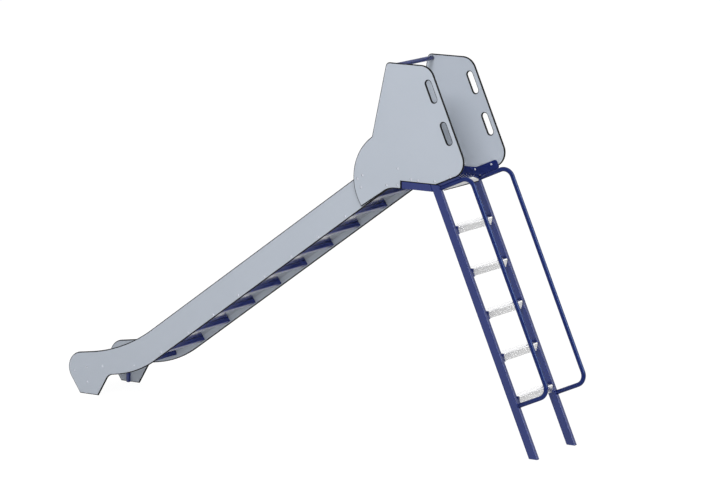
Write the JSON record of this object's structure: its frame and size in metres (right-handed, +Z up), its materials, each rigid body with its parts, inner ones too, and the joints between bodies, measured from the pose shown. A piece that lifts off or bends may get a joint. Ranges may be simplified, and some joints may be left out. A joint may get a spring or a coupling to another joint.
{
  "type": "playground slide",
  "caption": "Straight playground slide with a steel ladder, looped handrails, laminate side walls and cheeks, and a stainless steel chute with a short run-out.",
  "frame": {"origin": "on the ground, under the middle of the slide's length and width", "axes": "+X towards the ladder and away from the exit, +Y across the slide, +Z up"},
  "size_m": [3.627, 0.5, 2.361],
  "materials": {
    "laminate_panel": "satin light grey compact laminate with dark edges",
    "blue_paint": "glossy dark blue powder coat",
    "stainless_steel": "plain stainless sheet",
    "perforated_metal": "light grey folded sheet, perforated on the lips"
  },
  "bodies": {
    "root": {"side_wall_left": "laminate_panel", "cheek_panel_left": "laminate_panel", "side_wall_right": "laminate_panel", "cheek_panel_right": "laminate_panel", "chute_sheet": "stainless_steel", "cross_rail_01": "blue_paint", "cross_rail_02": "blue_paint", "cross_rail_03": "blue_paint", "cross_rail_04": "blue_paint", "cross_rail_05": "blue_paint", "cross_rail_06": "blue_paint", "cross_rail_07": "blue_paint", "cross_rail_08": "blue_paint", "cross_rail_09": "blue_paint", "cross_rail_10": "blue_paint", "cross_rail_11": "blue_paint", "cross_rail_12": "blue_paint", "cross_rail_13": "blue_paint", "foot_bracket_left": "blue_paint", "platform_side_left": "blue_paint", "platform_beam_left": "blue_paint", "stringer_left": "blue_paint", "handrail_left": "blue_paint", "foot_bracket_right": "blue_paint", "platform_side_right": "blue_paint", "platform_beam_right": "blue_paint", "stringer_right": "blue_paint", "handrail_right": "blue_paint", "cross_bar": "blue_paint", "platform_deck": "perforated_metal", "tread_1": "perforated_metal", "tread_2": "perforated_metal", "tread_3": "perforated_metal", "tread_4": "perforated_metal", "tread_5": "perforated_metal", "tread_bracket_1_left": "blue_paint", "tread_bracket_1_right": "blue_paint", "tread_bracket_2_left": "blue_paint", "tread_bracket_2_right": "blue_paint", "tread_bracket_3_left": "blue_paint", "tread_bracket_3_right": "blue_paint", "tread_bracket_4_left": "blue_paint", "tread_bracket_4_right": "blue_paint", "tread_bracket_5_left": "blue_paint", "tread_bracket_5_right": "blue_paint"}
  },
  "joints": []
}
